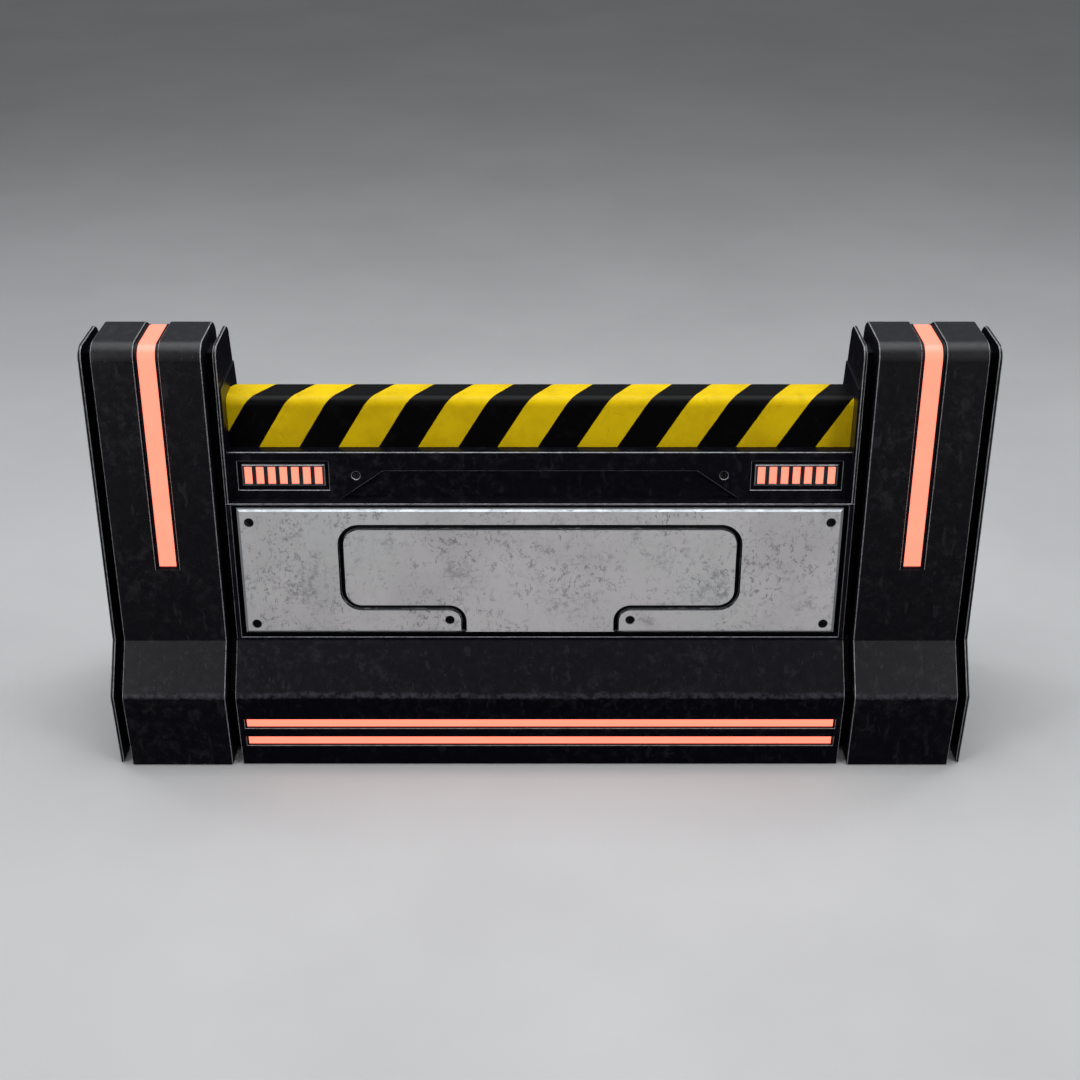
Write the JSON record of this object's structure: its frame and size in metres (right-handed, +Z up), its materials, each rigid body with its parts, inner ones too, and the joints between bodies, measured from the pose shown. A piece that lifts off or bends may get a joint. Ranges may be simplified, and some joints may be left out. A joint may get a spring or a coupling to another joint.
{
  "type": "modular security barricade",
  "caption": "Free-standing black steel barricade: two lit pillars, a striped crash beam between them, an armoured panel with a hinged service hatch, signal lights and lit base.",
  "frame": {"origin": "on the ground, under the middle of the barricade", "axes": "+X along its length, +Y towards its rear face, +Z up"},
  "size_m": [2.063, 0.511, 1.037],
  "materials": {
    "hood_steel": "worn black satin paint over steel",
    "cheek_steel": "worn black satin paint, bare bevels",
    "core_steel": "matt black paint",
    "light_tray": "matt black",
    "signal_lens": "lit salmon diffuser",
    "led_board": "solder mask",
    "structural_steel": "zinc plated",
    "fastener_steel": "black oxide",
    "cover_steel": "worn black satin paint over steel",
    "armor_plate": "scratched grey paint",
    "rubber": "matt",
    "bezel_plastic": "satin black",
    "lock_metal": "dark steel",
    "hazard_paint": "yellow and black hazard stripes, worn",
    "battery_case": "moulded",
    "control_case": "moulded"
  },
  "bodies": {
    "frame": {"left_hood": "hood_steel", "right_hood": "hood_steel", "left_outer_cheek": "cheek_steel", "left_inner_cheek": "cheek_steel", "right_outer_cheek": "cheek_steel", "right_inner_cheek": "cheek_steel", "beam_flanges": "cheek_steel", "left_outer_spacer": "core_steel", "left_inner_spacer": "core_steel", "right_outer_spacer": "core_steel", "right_inner_spacer": "core_steel", "left_light_tray": "light_tray", "right_light_tray": "light_tray", "front_base_light_tray": "light_tray", "rear_base_light_tray": "light_tray", "left_light_lens": "signal_lens", "right_light_lens": "signal_lens", "base_lenses": "signal_lens", "signal_lenses": "signal_lens", "left_led_strip": "led_board", "right_led_strip": "led_board", "base_led_strips": "led_board", "signal_boards": "led_board", "left_column": "structural_steel", "right_column": "structural_steel", "left_base_plate": "structural_steel", "right_base_plate": "structural_steel", "base_rails": "structural_steel", "cross_sills": "structural_steel", "centre_posts": "structural_steel", "battery_shelf": "structural_steel", "lock_keepers": "structural_steel", "left_cross_bolts": "fastener_steel", "right_cross_bolts": "fastener_steel", "plate_screws": "fastener_steel", "hinge_pins": "fastener_steel", "hatch_catches": "fastener_steel", "front_base_cover": "cover_steel", "rear_base_cover": "cover_steel", "front_tray": "cover_steel", "rear_tray": "cover_steel", "front_fascia": "cover_steel", "rear_fascia": "cover_steel", "front_armor_plate": "armor_plate", "rear_armor_plate": "armor_plate", "front_hatch_seal": "rubber", "rear_hatch_seal": "rubber", "foot_pads": "rubber", "signal_bezels": "bezel_plastic", "crash_beam": "hazard_paint", "battery_pack": "battery_case", "control_box": "control_case"},
    "front_hatch": {"front_hatch": "armor_plate"},
    "rear_hatch": {"rear_hatch": "armor_plate"},
    "front_left_lock": {"front_left_lock": "lock_metal"},
    "front_right_lock": {"front_right_lock": "lock_metal"},
    "rear_left_lock": {"rear_left_lock": "lock_metal"},
    "rear_right_lock": {"rear_right_lock": "lock_metal"}
  },
  "joints": [
    {"name": "front_hatch_hinge", "type": "hinge", "parent": "frame", "child": "front_hatch", "pos_m": [0, -0.15405, 0.32912], "axis": [1, 0, 0], "range_deg": [0, 90]},
    {"name": "rear_hatch_hinge", "type": "hinge", "parent": "frame", "child": "rear_hatch", "pos_m": [0, 0.15405, 0.32912], "axis": [-1, 0, 0], "range_deg": [0, 90]},
    {"name": "front_left_lock_turn", "type": "hinge", "parent": "frame", "child": "front_left_lock", "pos_m": [-0.427, -0.07911, 0.71371], "axis": [0, -0.9934, 0.1149], "range_deg": [0, 90]},
    {"name": "front_right_lock_turn", "type": "hinge", "parent": "frame", "child": "front_right_lock", "pos_m": [0.427, -0.07911, 0.71371], "axis": [0, 0.9934, -0.1149], "range_deg": [0, 90]},
    {"name": "rear_left_lock_turn", "type": "hinge", "parent": "frame", "child": "rear_left_lock", "pos_m": [-0.427, 0.07911, 0.71371], "axis": [0, -0.9934, -0.1149], "range_deg": [0, 90]},
    {"name": "rear_right_lock_turn", "type": "hinge", "parent": "frame", "child": "rear_right_lock", "pos_m": [0.427, 0.07911, 0.71371], "axis": [0, 0.9934, 0.1149], "range_deg": [0, 90]}
  ]
}
